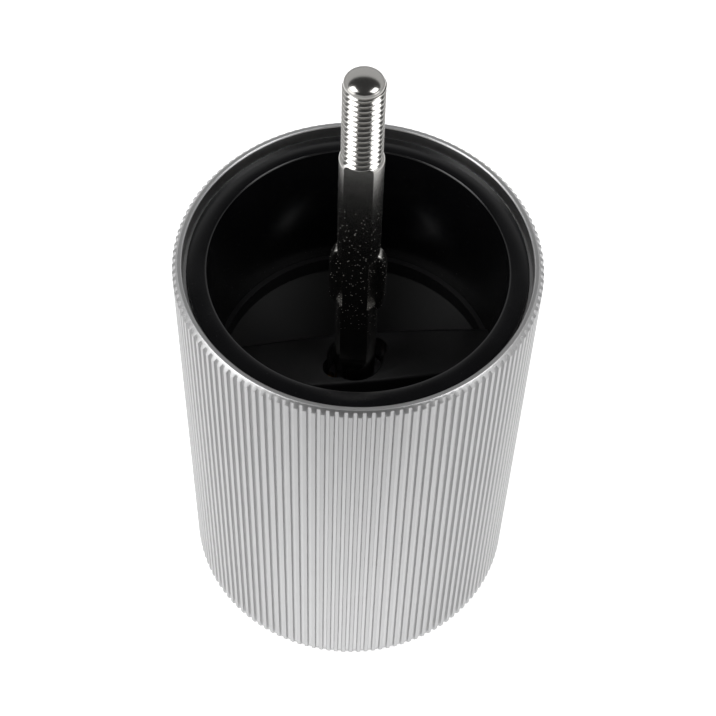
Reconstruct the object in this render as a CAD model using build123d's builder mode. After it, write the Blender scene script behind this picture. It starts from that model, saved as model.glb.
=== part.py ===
from build123d import *
import os
from math import cos, pi, radians, sin

os.makedirs("parts", exist_ok=True)

# Body of a hand crank coffee grinder, in millimetres.
# The origin is the centre of the base, +Z points up the shaft, and the front is towards -Y.

# ---- driving dimensions ----------------------------------------------------------------

shell_height = 78.3
shell_radius = 28.0            # over the ribs
shell_bore_radius = 26.0
rib_count = 131
rib_depth = 0.5
rib_crest_share = 0.42         # of the rib pitch, at the crest
rib_foot_share = 0.60          # of the rib pitch, at the foot
rim_chamfer = 0.8
base_chamfer = 0.5
bore_chamfer = 0.2
lid_recess_radius = 26.5       # a shallow step in the bore, just under the rim
lid_recess_bottom = 75.6

liner_top = shell_height - 1.6     # the ledge lies just under the rim
liner_inner_radius = 22.8
liner_wall = 1.4
liner_flange = 1.8

bridge_top = 52.0
bridge_angle = 8.0             # the bar is turned a little from the X axis
bridge_mid_half_width = 4.95
bridge_end_half_width = 3.7
bridge_ring_bottom = 47.0
bridge_ring_top = 50.0
bridge_ring_inner_radius = 22.0
hub_bottom = 40.0
hub_radius = 8.5
keyhole_radius = 4.3
keyhole_slot_length = 11.6
keyhole_slot_width = 4.2
keyhole_angle = 33.0

shaft_radius = 3.25
shaft_bottom = 9.6
shaft_angle = -8.6             # the ears point along this direction at rest
shoulder_top = 101.75
crank_thread_radius = 3.0      # M6
crank_thread_pitch = 1.0
crank_thread_top = 116.3
shaft_tip = 117.6
upper_flats = 4.9              # across the flats that the crank fits on
upper_flats_end = 55.2         # where the flats start to run out, above the bridge
lower_flats = 5.2              # across the flats that drive the burr
run_out_radius = 4.0           # the milling cutter that made the flats
ear_span = 8.7
ear_height = 14.5
ear_centre = 73.8
ear_thickness = 2.2
ear_corner_across = 1.8       # the corners are quarter ellipses
ear_corner_along = 3.9
ear_chamfer = 0.45

adjust_thread_radius = 2.5     # M5
adjust_thread_pitch = 0.8
thread_root_step = 0.6         # crest radius minus root radius, for M6; scaled with the pitch

housing_top = bridge_ring_bottom
housing_bottom = 10.2
housing_radius = 25.9
throat_radius = 14.6
outer_burr_radius = 19.0
outer_burr_bottom = 18.5
outer_burr_top = 32.5

inner_burr_bottom = 17.0
inner_burr_top = 34.5
burr_hub_top = 29.0
burr_bore_radius = 6.0

dial_radius = 11.0
dial_bottom = 12.0
dial_top = 16.2

running_gap = 0.05             # round fits that turn, and faces that slide
static_gap = 0.02              # pieces that are fixed to each other

# ---- shared shapes ---------------------------------------------------------------------

ear_direction = Vector(cos(radians(shaft_angle)), sin(radians(shaft_angle)), 0)
flat_normal = Vector(-sin(radians(shaft_angle)), cos(radians(shaft_angle)), 0)


def ring(inner_radius, outer_radius, z_low, z_high):
    """A plain flat ring, such as a washer."""
    with BuildPart() as body:
        with BuildSketch(Plane.XY.offset(z_low)):
            Circle(outer_radius)
            Circle(inner_radius, mode=Mode.SUBTRACT)
        extrude(amount=z_high - z_low)
    return body.part


def turned(*points):
    """A turned solid from (radius, height) corners."""
    with BuildPart() as body:
        with BuildSketch(Plane.XZ):
            with BuildLine():
                Polyline(*points, close=True)
            make_face()
        revolve(axis=Axis.Z)
    return body.part


def retaining_clip(groove_radius, outer_radius, z_low, z_high):
    """An E-clip: a ring with a mouth a little narrower than the groove it snaps into."""
    with BuildPart() as body:
        with BuildSketch(Plane.XY.offset(z_low)):
            Circle(outer_radius)
            with PolarLocations(groove_radius + 0.5 * (outer_radius - groove_radius), 2, 60, 240):
                Circle(0.34 * (outer_radius - groove_radius), mode=Mode.SUBTRACT)
            Circle(groove_radius + static_gap, mode=Mode.SUBTRACT)
            with Locations((0, -outer_radius)):
                Rectangle(1.7 * groove_radius, 2 * outer_radius, mode=Mode.SUBTRACT)
        extrude(amount=z_high - z_low)
    return body.part


def coil(mean_radius, wire_radius, z_low, z_high, turns):
    """A compression spring between two heights, outside of the wire."""
    length = z_high - z_low - 2 * wire_radius
    with BuildPart() as body:
        with BuildLine() as path:
            Helix(length / turns, length, mean_radius, center=(0, 0, z_low + wire_radius))
        with BuildSketch(Plane(origin=path.line @ 0, z_dir=path.line % 0)):
            Circle(wire_radius)
        sweep(is_frenet=True)
    return body.part


def thread_ridge(crest_radius, root_radius, pitch, z_low, z_high):
    """The helical ridge of an external thread, a little sunk into its core."""
    sink = 0.1
    foot = 0.48 * pitch
    crest = 0.07 * pitch
    depth = crest_radius - root_radius
    with BuildPart() as body:
        with BuildLine() as path:
            Helix(pitch, z_high - z_low, root_radius, center=(0, 0, z_low))
        with BuildSketch(Plane(origin=path.line @ 0, z_dir=path.line % 0, x_dir=(1, 0, 0))):
            Polygon((-sink, -foot), (-sink, foot), (depth, crest), (depth, -crest), align=None)
        sweep(is_frenet=True)
    return body.part


def tooth_cutter(low, high, depth, half_width, lean, outwards):
    """A V-shaped cutter that follows a cone from (radius, height) low to high.

    It leans round the cone by lean degrees, and cuts outwards into a ring or inwards into a core.
    """
    along = Vector(high[0] - low[0], 0, high[1] - low[1])
    length = along.length
    side = Vector(0, 1, 0)
    direction = along.normalized() * cos(radians(lean)) + side * sin(radians(lean))
    normal = side.cross(along.normalized())
    middle = ((low[0] + high[0]) / 2, 0, (low[1] + high[1]) / 2)
    tip = depth if outwards else -depth
    mouth = -0.6 * depth if outwards else 0.6 * depth
    with BuildPart() as body:
        with BuildSketch(Plane(origin=middle, x_dir=normal, z_dir=direction)):
            Polygon((tip, 0), (mouth, half_width * 1.6), (mouth, -half_width * 1.6), align=None)
        extrude(amount=0.5 * length / cos(radians(lean)), both=True)
    return body.part


def save(body, name):
    """Label a finished piece and write it to its own file."""
    body.part.label = name
    export_step(body.part, f"parts/{name}.step")


# ---- outer shell: a tube with straight ribs --------------------------------------------

rib_pitch = 2 * pi * shell_radius / rib_count
rib_foot_radius = shell_radius - rib_depth
rib_root_overlap = 0.2
groove_bottom = 9.0
groove_top = housing_bottom
groove_radius = 26.7

with BuildPart() as outer_shell:
    with BuildSketch():
        Circle(rib_foot_radius)
        with PolarLocations(rib_foot_radius, rib_count):
            Polygon(
                (-rib_root_overlap, -rib_foot_share * rib_pitch / 2),
                (0, -rib_foot_share * rib_pitch / 2),
                (rib_depth, -rib_crest_share * rib_pitch / 2),
                (rib_depth, rib_crest_share * rib_pitch / 2),
                (0, rib_foot_share * rib_pitch / 2),
                (-rib_root_overlap, rib_foot_share * rib_pitch / 2),
                align=None,
            )
        Circle(shell_bore_radius, mode=Mode.SUBTRACT)
    extrude(amount=shell_height)
    # the chamfers cut the ribs' ends into a toothed edge, so they are cones round the whole tube
    over = 1.0
    with BuildSketch(Plane.XZ):
        with BuildLine():
            Polyline(
                (shell_radius - rim_chamfer, shell_height),
                (shell_radius + over, shell_height - rim_chamfer - over),
                (shell_radius + over, shell_height),
                close=True,
            )
        make_face()
        with BuildLine():
            Polyline(
                (shell_radius - base_chamfer, 0),
                (shell_radius + over, 0),
                (shell_radius + over, base_chamfer + over),
                close=True,
            )
        make_face()
        with BuildLine():
            Polyline(
                (shell_bore_radius - over, shell_height),
                (shell_bore_radius - over, lid_recess_bottom),
                (lid_recess_radius, lid_recess_bottom),
                (lid_recess_radius, shell_height - bore_chamfer),
                (lid_recess_radius + bore_chamfer, shell_height),
                close=True,
            )
        make_face()
        with BuildLine():
            Polyline(
                (shell_bore_radius - over, 0),
                (shell_bore_radius - over, bore_chamfer),
                (shell_bore_radius, bore_chamfer),
                (shell_bore_radius + bore_chamfer, 0),
                close=True,
            )
        make_face()
        with BuildLine():
            Polyline(
                (shell_bore_radius - over, groove_bottom),
                (groove_radius, groove_bottom),
                (groove_radius, groove_top),
                (shell_bore_radius - over, groove_top),
                close=True,
            )
        make_face()
    revolve(axis=Axis.Z, mode=Mode.SUBTRACT)
save(outer_shell, "outer_shell")

# ---- hopper liner: a thin black tube with a flange at each end -------------------------

liner_outer_radius = liner_inner_radius + liner_wall
liner_edge_round = 0.4

with BuildPart() as hopper_liner:
    add(
        turned(
            (liner_inner_radius, bridge_ring_top),
            (housing_radius, bridge_ring_top),
            (housing_radius, bridge_ring_top + liner_flange),
            (liner_outer_radius, bridge_ring_top + liner_flange),
            (liner_outer_radius, liner_top - liner_flange),
            (housing_radius, liner_top - liner_flange),
            (housing_radius, liner_top),
            (liner_inner_radius, liner_top),
        )
    )
    ledge = hopper_liner.faces().filter_by(Axis.Z).sort_by(Axis.Z)[-1]
    fillet(ledge.inner_wires()[0].edges(), liner_edge_round)
    fillet(ledge.outer_wire().edges(), liner_edge_round / 2)
save(hopper_liner, "hopper_liner")

# ---- bearing bridge: a bar with a keyhole, on a ring, with the bush's hub under it -----

bush_radius = 5.5
bar_bottom = bridge_ring_bottom
bar_half_length = 22.4
bar_edge_round = 0.5
bridge_screw_circle = 23.95
bridge_screw_radius = 0.95
bridge_screw_head_radius = 1.6
bridge_screw_angle = 52.0

with BuildPart() as bearing_bridge:
    add(ring(bridge_ring_inner_radius, housing_radius, bridge_ring_bottom, bridge_ring_top))
    with BuildSketch(Plane.XY.rotated((0, 0, bridge_angle)).offset(bar_bottom)):
        with BuildLine():
            ThreePointArc(
                (-bar_half_length, bridge_end_half_width),
                (0, bridge_mid_half_width),
                (bar_half_length, bridge_end_half_width),
            )
            Line((bar_half_length, bridge_end_half_width), (bar_half_length, -bridge_end_half_width))
            ThreePointArc(
                (bar_half_length, -bridge_end_half_width),
                (0, -bridge_mid_half_width),
                (-bar_half_length, -bridge_end_half_width),
            )
            Line((-bar_half_length, -bridge_end_half_width), (-bar_half_length, bridge_end_half_width))
        make_face()
        Circle(liner_inner_radius - 0.15, mode=Mode.INTERSECT)
    extrude(amount=bridge_top - bar_bottom)
    long_edges = bearing_bridge.faces().sort_by(Axis.Z)[-1].edges().sort_by(SortBy.LENGTH)[-2:]
    fillet(long_edges, bar_edge_round)
    # the hub, with a skirt that spreads its load into the bar
    with BuildSketch(Plane.XY.offset(hub_bottom)):
        Circle(hub_radius)
    extrude(amount=bar_bottom - hub_bottom)
    with BuildSketch(Plane.XY.rotated((0, 0, bridge_angle)).offset(bar_bottom - 2.0)):
        Rectangle(2 * bar_half_length - 4.0, 3.0)
    extrude(amount=2.5)
    with BuildSketch(Plane.XY.offset(hub_bottom)):
        Circle(bush_radius)
    extrude(amount=bar_bottom - hub_bottom, mode=Mode.SUBTRACT)
    # the keyhole lets the shaft's two ears pass, and then holds them above the bar
    with BuildSketch(Plane.XY.offset(bar_bottom)):
        Circle(keyhole_radius)
        SlotOverall(keyhole_slot_length, keyhole_slot_width, rotation=keyhole_angle)
    extrude(amount=bridge_top - bar_bottom, mode=Mode.SUBTRACT)
    with Locations((0, 0, bridge_ring_top)):
        with PolarLocations(bridge_screw_circle, 3, bridge_screw_angle):
            CounterSinkHole(
                radius=bridge_screw_radius + running_gap,
                counter_sink_radius=bridge_screw_head_radius + running_gap,
                depth=bridge_ring_top - bridge_ring_bottom,
            )
save(bearing_bridge, "bearing_bridge")

bridge_screw_end = 42.0
bridge_screw_cone = bridge_screw_head_radius - bridge_screw_radius
cross_recess_depth = 0.55

with BuildPart() as bridge_screws:
    with PolarLocations(bridge_screw_circle, 3, bridge_screw_angle):
        add(
            turned(
                (0, bridge_screw_end),
                (0.5 * bridge_screw_radius, bridge_screw_end),
                (bridge_screw_radius, bridge_screw_end + 0.5 * bridge_screw_radius),
                (bridge_screw_radius, bridge_ring_top - static_gap - bridge_screw_cone),
                (bridge_screw_head_radius, bridge_ring_top - static_gap),
                (0, bridge_ring_top - static_gap),
            )
        )
    with BuildSketch(Plane.XY.offset(bridge_ring_top)):
        with PolarLocations(bridge_screw_circle, 3, bridge_screw_angle):
            Rectangle(1.8, 0.35)
            Rectangle(0.35, 1.8)
    extrude(amount=-cross_recess_depth, mode=Mode.SUBTRACT)
save(bridge_screws, "bridge_screws")

# ---- bush, washers and clips that carry the shaft --------------------------------------

bush_top = 45.0
bush_flange_radius = 7.5
bush_flange_bottom = 39.0
washer_thickness = 0.6
clip_thickness = 0.8
clip_radius = 5.2
clip_groove_radius = 2.9

upper_washer_bottom = bush_top + running_gap
upper_clip_bottom = upper_washer_bottom + washer_thickness + running_gap
lower_washer_bottom = bush_flange_bottom - running_gap - washer_thickness
lower_clip_bottom = lower_washer_bottom - running_gap - clip_thickness
spring_seat_bottom = lower_clip_bottom - running_gap - washer_thickness

with BuildPart() as shaft_bushing:
    add(ring(shaft_radius + running_gap, bush_radius - static_gap, hub_bottom, bush_top))
    add(ring(shaft_radius + running_gap, bush_flange_radius, bush_flange_bottom, hub_bottom))
save(shaft_bushing, "shaft_bushing")

with BuildPart() as thrust_washers:
    for z_low in (upper_washer_bottom, lower_washer_bottom):
        add(ring(shaft_radius + running_gap, clip_radius, z_low, z_low + washer_thickness))
save(thrust_washers, "thrust_washers")

with BuildPart() as shaft_clips:
    for z_low in (upper_clip_bottom, lower_clip_bottom):
        add(retaining_clip(clip_groove_radius, clip_radius, z_low, z_low + clip_thickness))
save(shaft_clips, "shaft_clips")

with BuildPart() as spring_seat:
    add(
        ring(
            shaft_radius + running_gap,
            5.8,
            spring_seat_bottom,
            spring_seat_bottom + washer_thickness,
        )
    )
save(spring_seat, "spring_seat")

# ---- drive shaft -----------------------------------------------------------------------

crank_root_radius = crank_thread_radius - thread_root_step
adjust_root_radius = adjust_thread_radius - thread_root_step * adjust_thread_pitch
thread_end_gap = 0.55          # of the pitch, from a shoulder to the middle of the first ridge
lower_flats_bottom = 17.2
lower_flats_end = 30.0         # where they start to run out
end_clip_bottom = 10.0
end_clip_thickness = 0.7
end_groove_radius = 1.5
nose_radius = 2.85
shoulder_round = 0.7
end_groove_top = end_clip_bottom + end_clip_thickness + 0.1
pinch_below = 4.75             # the pinched pocket beside an ear, below and above its middle
pinch_above = 5.8
pinch_inner = 1.95             # distance from the axis to the pocket's wall

with BuildPart() as shaft_stock:
    with BuildSketch(Plane.XZ):
        with BuildLine():
            Polyline(
                (crank_root_radius, crank_thread_top - 0.3),
                (crank_root_radius, shoulder_top),
                (shaft_radius - shoulder_round, shoulder_top),
            )
            RadiusArc(
                (shaft_radius - shoulder_round, shoulder_top),
                (shaft_radius, shoulder_top - shoulder_round),
                shoulder_round,
            )
            Polyline(
                (shaft_radius, shoulder_top - shoulder_round),
                (shaft_radius, upper_clip_bottom + clip_thickness),
                (clip_groove_radius, upper_clip_bottom + clip_thickness),
                (clip_groove_radius, upper_clip_bottom),
                (shaft_radius, upper_clip_bottom),
                (shaft_radius, lower_clip_bottom + clip_thickness),
                (clip_groove_radius, lower_clip_bottom + clip_thickness),
                (clip_groove_radius, lower_clip_bottom),
                (shaft_radius, lower_clip_bottom),
                (shaft_radius, lower_flats_bottom),
                (adjust_root_radius, lower_flats_bottom),
                (adjust_root_radius, end_groove_top),
                (end_groove_radius, end_groove_top),
                (end_groove_radius, end_clip_bottom - 0.02),
                (adjust_root_radius, end_clip_bottom - 0.02),
                (adjust_root_radius, shaft_bottom),
                (0, shaft_bottom),
                (0, shaft_tip),
                (0.3, shaft_tip),
            )
            ThreePointArc(
                (0.3, shaft_tip),
                (1.1, shaft_tip - 0.1),
                (1.9, shaft_tip - 0.33),
            )
            ThreePointArc(
                (1.9, shaft_tip - 0.33),
                (2.55, shaft_tip - 0.72),
                (nose_radius, crank_thread_top),
            )
            Polyline(
                (nose_radius, crank_thread_top),
                (nose_radius, crank_thread_top - 0.1),
                (crank_root_radius, crank_thread_top - 0.3),
            )
        make_face()
    revolve(axis=Axis.Z)

side_plane = Plane(origin=(0, 0, 0), x_dir=flat_normal, z_dir=ear_direction)

with BuildPart() as flats_cutter:
    with BuildSketch(side_plane):
        for side in (1, -1):
            upper = upper_flats / 2
            lower = lower_flats / 2
            with Locations((side * (upper + run_out_radius), upper_flats_end)):
                Circle(run_out_radius)
            with Locations((side * (upper + run_out_radius), (upper_flats_end + shoulder_top) / 2 + 0.5)):
                Rectangle(2 * run_out_radius, shoulder_top - upper_flats_end + 1.0)
            with Locations((side * (lower + run_out_radius), lower_flats_end)):
                Circle(run_out_radius)
            with Locations((side * (lower + run_out_radius), (lower_flats_bottom + lower_flats_end) / 2)):
                Rectangle(2 * run_out_radius, lower_flats_end - lower_flats_bottom)
    extrude(amount=shaft_radius + 1.0, both=True)

with BuildPart() as pinch_cutter:
    pocket_face = Plane(
        origin=ear_direction * pinch_inner + Vector(0, 0, ear_centre),
        x_dir=flat_normal,
        z_dir=ear_direction,
    )
    with BuildSketch(pocket_face):
        for side in (1, -1):
            Polygon(
                (side * ear_thickness / 2, pinch_above),
                (side * ear_thickness / 2, -pinch_below),
                (side * (ear_thickness / 2 + 3.0), -pinch_below - 0.5),
                (side * (ear_thickness / 2 + 3.0), pinch_above + 1.8),
                align=None,
            )
    extrude(amount=ear_span)

with BuildPart() as ear_plate:
    with BuildSketch(Plane(origin=(0, 0, ear_centre), x_dir=ear_direction, z_dir=flat_normal * -1)):
        Rectangle(ear_span, ear_height - 2 * ear_corner_along)
        Rectangle(ear_span - 2 * ear_corner_across, ear_height)
        for across in (1, -1):
            for along in (1, -1):
                with Locations(
                    (
                        across * (ear_span / 2 - ear_corner_across),
                        along * (ear_height / 2 - ear_corner_along),
                    )
                ):
                    Ellipse(ear_corner_across, ear_corner_along)
    extrude(amount=ear_thickness / 2, both=True)
    for face in ear_plate.faces().filter_by(GeomType.PLANE).sort_by(SortBy.AREA)[-2:]:
        chamfer(face.outer_wire().edges(), ear_chamfer)

with BuildPart() as drive_shaft:
    add(shaft_stock.part)
    add(flats_cutter.part, mode=Mode.SUBTRACT)
    add(pinch_cutter.part, mode=Mode.SUBTRACT)
    add(pinch_cutter.part.rotate(Axis.Z, 180), mode=Mode.SUBTRACT)
    add(ear_plate.part)
    add(
        thread_ridge(
            crank_thread_radius,
            crank_root_radius,
            crank_thread_pitch,
            shoulder_top + thread_end_gap * crank_thread_pitch,
            crank_thread_top - 0.3 - 0.6 * crank_thread_pitch,
        )
    )
    add(
        thread_ridge(
            adjust_thread_radius,
            adjust_root_radius,
            adjust_thread_pitch,
            end_groove_top + thread_end_gap * adjust_thread_pitch,
            lower_flats_bottom - thread_end_gap * adjust_thread_pitch,
        )
    )
save(drive_shaft, "drive_shaft")

with BuildPart() as end_clip:
    add(retaining_clip(end_groove_radius, 3.6, end_clip_bottom, end_clip_bottom + end_clip_thickness))
save(end_clip, "end_clip")

# ---- burr housing: funnel, burr seat and skirt -----------------------------------------

seat_radius = outer_burr_radius + 0.05
skirt_radius = 24.2
retainer_screw_circle = 21.5
retainer_screw_radius = 1.25
retainer_screw_length = 7.0
retainer_bottom = 17.3
key_radius = 1.0
key_bottom = 19.5
key_length = 8.0
o_ring_radius = 0.5
o_ring_heights = (13.5, 38.0)
o_ring_groove_radius = housing_radius - 0.98

with BuildPart() as burr_housing:
    add(
        turned(
            (housing_radius, housing_bottom),
            (housing_radius, housing_top),
            (liner_inner_radius, housing_top),
            (throat_radius, 36.6),
            (throat_radius, outer_burr_top),
            (seat_radius, outer_burr_top),
            (seat_radius, outer_burr_bottom),
            (skirt_radius, outer_burr_bottom),
            (skirt_radius, housing_bottom),
        )
    )
    for z_ring in o_ring_heights:
        add(ring(o_ring_groove_radius, housing_radius + 1.0, z_ring - 0.6, z_ring + 0.6), mode=Mode.SUBTRACT)
    with BuildSketch(Plane.XY.offset(housing_top)):
        with PolarLocations(bridge_screw_circle, 3, bridge_screw_angle):
            Circle(bridge_screw_radius + static_gap)
    extrude(amount=bridge_screw_end - 0.5 - housing_top, mode=Mode.SUBTRACT)
    with BuildSketch(Plane.XY.offset(outer_burr_bottom)):
        with PolarLocations(retainer_screw_circle, 3):
            Circle(retainer_screw_radius + static_gap)
    extrude(amount=retainer_screw_length, mode=Mode.SUBTRACT)
    with BuildSketch(Plane.XY.offset(outer_burr_bottom)):
        with PolarLocations(outer_burr_radius, 2, 30, 180):
            Circle(key_radius + static_gap)
    extrude(amount=key_bottom + key_length - outer_burr_bottom, mode=Mode.SUBTRACT)
save(burr_housing, "burr_housing")

with BuildPart() as housing_o_rings:
    for z_ring in o_ring_heights:
        with Locations((0, 0, z_ring)):
            Torus(o_ring_groove_radius + static_gap + o_ring_radius, o_ring_radius)
save(housing_o_rings, "housing_o_rings")

clip_wire_inner = 24.6
clip_wire_outer = groove_radius - 0.1
lug_radius = 1.9
lug_circle = 24.1
lug_angle = 8.0

with BuildPart() as housing_circlip:
    with BuildSketch(Plane.XY.offset(groove_bottom + running_gap)):
        Circle(clip_wire_outer)
        Circle(clip_wire_inner, mode=Mode.SUBTRACT)
        with Locations((clip_wire_outer, 0)):
            Rectangle(2 * (clip_wire_outer - clip_wire_inner) + 1.0, 5.0, mode=Mode.SUBTRACT)
        for side in (1, -1):
            with PolarLocations(lug_circle, 1, side * lug_angle):
                Circle(lug_radius)
                Circle(lug_radius / 2, mode=Mode.SUBTRACT)
    extrude(amount=groove_top - groove_bottom - 2 * running_gap)
save(housing_circlip, "housing_circlip")

# ---- outer burr, its dowels and its retainer -------------------------------------------

outer_profile_top = (13.0, outer_burr_top)
outer_profile_middle = (13.6, 25.0)
outer_profile_bottom = (15.3, outer_burr_bottom)
fine_teeth = 40
outer_flutes = 12

with BuildPart() as outer_burr:
    add(
        turned(
            (outer_burr_radius, outer_burr_bottom),
            (outer_burr_radius, outer_burr_top),
            outer_profile_top,
            outer_profile_middle,
            outer_profile_bottom,
        )
    )
    with PolarLocations(0, fine_teeth):
        add(
            tooth_cutter((15.6, 17.4), (13.5, 25.4), 0.75, 0.5, 14, True),
            mode=Mode.SUBTRACT,
        )
    with PolarLocations(0, outer_flutes):
        add(
            tooth_cutter((13.7, 24.0), (12.8, 35.0), 2.0, 1.7, -16, True),
            mode=Mode.SUBTRACT,
        )
    with BuildSketch(Plane.XY.offset(outer_burr_bottom)):
        with PolarLocations(outer_burr_radius, 2, 30, 180):
            Circle(key_radius + static_gap)
    extrude(amount=key_bottom + key_length - outer_burr_bottom, mode=Mode.SUBTRACT)
save(outer_burr, "outer_burr")

with BuildPart() as burr_keys:
    with BuildSketch(Plane.XY.offset(key_bottom)):
        with PolarLocations(outer_burr_radius, 2, 30, 180):
            Circle(key_radius)
    extrude(amount=key_length - 0.1)
    chamfer(burr_keys.edges().filter_by(GeomType.CIRCLE), 0.2)
save(burr_keys, "burr_keys")

retainer_inner_radius = 16.4

with BuildPart() as burr_retainer:
    with BuildSketch(Plane.XY.offset(retainer_bottom)):
        Circle(skirt_radius - 0.1)
        Circle(retainer_inner_radius, mode=Mode.SUBTRACT)
        with PolarLocations(retainer_screw_circle, 3):
            Circle(retainer_screw_radius + 0.1, mode=Mode.SUBTRACT)
    extrude(amount=outer_burr_bottom - static_gap - retainer_bottom)
save(burr_retainer, "burr_retainer")

pan_head_radius = 2.3
pan_head_height = 1.5
retainer_screw_top = outer_burr_bottom + retainer_screw_length - 0.5
retainer_head_top = retainer_bottom - static_gap

with BuildPart() as retainer_screws:
    with PolarLocations(retainer_screw_circle, 3):
        add(
            turned(
                (0, retainer_screw_top),
                (0.5 * retainer_screw_radius, retainer_screw_top),
                (retainer_screw_radius, retainer_screw_top - 0.5 * retainer_screw_radius),
                (retainer_screw_radius, retainer_head_top),
                (pan_head_radius, retainer_head_top),
                (pan_head_radius, retainer_head_top - 0.9),
                (pan_head_radius - 0.5, retainer_head_top - pan_head_height),
                (0, retainer_head_top - pan_head_height),
            )
        )
    with BuildSketch(Plane.XY.offset(retainer_head_top - pan_head_height)):
        with PolarLocations(retainer_screw_circle, 3):
            Rectangle(2.4, 0.5)
            Rectangle(0.5, 2.4)
    extrude(amount=0.8, mode=Mode.SUBTRACT)
save(retainer_screws, "retainer_screws")

# ---- inner burr, its driven hub and the click plate ------------------------------------

inner_profile_top = (8.4, inner_burr_top)
inner_profile_middle = (12.6, 24.5)
inner_profile_bottom = (15.0, 18.0)
inner_flutes = 7
click_plate_bottom = dial_top + 0.1
click_plate_inner_radius = 5.2
click_plate_outer_radius = 10.0
click_count = 24

with BuildPart() as inner_burr:
    add(
        turned(
            (burr_bore_radius, inner_burr_bottom),
            (inner_profile_bottom[0], inner_burr_bottom),
            inner_profile_bottom,
            inner_profile_middle,
            inner_profile_top,
            (burr_bore_radius, inner_burr_top),
        )
    )
    with PolarLocations(0, fine_teeth):
        add(
            tooth_cutter((15.3, 16.6), (12.4, 25.0), 0.75, 0.5, -14, False),
            mode=Mode.SUBTRACT,
        )
    with PolarLocations(0, inner_flutes):
        add(
            tooth_cutter((13.4, 22.6), (8.0, 35.6), 1.7, 1.9, 28, False),
            mode=Mode.SUBTRACT,
        )
save(inner_burr, "inner_burr")

drive_fit_radius = shaft_radius + 0.06
drive_fit_flats = lower_flats + 0.12

with BuildPart() as burr_hub:
    add(ring(1.0, burr_bore_radius - static_gap, inner_burr_bottom, burr_hub_top))
    add(ring(1.0, click_plate_inner_radius - static_gap, dial_top + running_gap, inner_burr_bottom))
    with BuildSketch(Plane.XY.rotated((0, 0, shaft_angle))):
        Circle(drive_fit_radius)
        Rectangle(4 * drive_fit_radius, drive_fit_flats, mode=Mode.INTERSECT)
    extrude(amount=burr_hub_top + 1.0, mode=Mode.SUBTRACT)
save(burr_hub, "burr_hub")

with BuildPart() as click_plate:
    add(
        ring(
            click_plate_inner_radius,
            click_plate_outer_radius,
            click_plate_bottom,
            inner_burr_bottom - static_gap,
        )
    )
    with BuildSketch(Plane.YZ.offset(click_plate_inner_radius + 0.8)) as notch:
        with Locations((0, click_plate_bottom)):
            Polygon((-0.4, 0), (0.4, 0), (0, 0.3), align=None)
    notch_cutter = extrude(amount=6.0, mode=Mode.PRIVATE)
    with PolarLocations(0, click_count):
        add(notch_cutter, mode=Mode.SUBTRACT)
save(click_plate, "click_plate")

with BuildPart() as burr_spring:
    add(coil(4.6, 0.45, burr_hub_top + running_gap, spring_seat_bottom - running_gap, 4))
save(burr_spring, "burr_spring")

# ---- adjuster dial, its nut and its clicks ---------------------------------------------

nut_across_flats = 9.0
nut_bottom = 12.4
dial_floor_hole_radius = 4.0
flute_count = 24
detent_circle = 7.8
detent_ball_radius = 1.0
detent_pocket_radius = 1.1
detent_pocket_bottom = 12.8

with BuildPart() as adjuster_dial:
    with BuildSketch(Plane.XY.offset(dial_bottom)):
        Circle(dial_radius)
        with PolarLocations(dial_radius + 0.7, flute_count):
            Circle(1.1, mode=Mode.SUBTRACT)
        Circle(dial_floor_hole_radius, mode=Mode.SUBTRACT)
    extrude(amount=dial_top - dial_bottom)
    with BuildSketch(Plane.XY.offset(nut_bottom - static_gap)):
        RegularPolygon(nut_across_flats / 2 + static_gap, 6, major_radius=False)
    extrude(amount=dial_top - nut_bottom + static_gap, mode=Mode.SUBTRACT)
    with BuildSketch(Plane.XY.offset(detent_pocket_bottom)):
        with PolarLocations(detent_circle, 4, 45):
            Circle(detent_pocket_radius)
    extrude(amount=dial_top - detent_pocket_bottom, mode=Mode.SUBTRACT)
save(adjuster_dial, "adjuster_dial")

with BuildPart() as adjuster_nut:
    with BuildSketch(Plane.XY.offset(nut_bottom)):
        RegularPolygon(nut_across_flats / 2, 6, major_radius=False)
        Circle(adjust_thread_radius + 0.08, mode=Mode.SUBTRACT)
    extrude(amount=dial_top - nut_bottom)
save(adjuster_nut, "adjuster_nut")

with BuildPart() as detent_balls:
    with Locations((0, 0, dial_top - detent_ball_radius)):
        with PolarLocations(detent_circle, 4, 45):
            Sphere(detent_ball_radius)
save(detent_balls, "detent_balls")

with BuildPart() as detent_springs:
    with PolarLocations(detent_circle, 4, 45):
        add(coil(0.75, 0.15, detent_pocket_bottom, dial_top - 2 * detent_ball_radius, 3))
save(detent_springs, "detent_springs")
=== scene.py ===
# %% [markdown]
# # The body of a hand crank coffee grinder
#
# This lesson dresses a grinder body that already exists as a plain engineering model: a ribbed aluminium tube
# with a black hopper inside, a bar with a keyhole, and a steel shaft that the crank goes on. The engineering
# model fixes every size and every joint. Here we give each piece its real surface: sharp little ribs, a cut
# thread, ground burrs, and finishes with grain and wear.

# %% The frame: the engineering model, in metres
import bpy
import bmesh
from math import cos, pi, radians, sin, tau
from mathutils import Matrix, Vector


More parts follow.
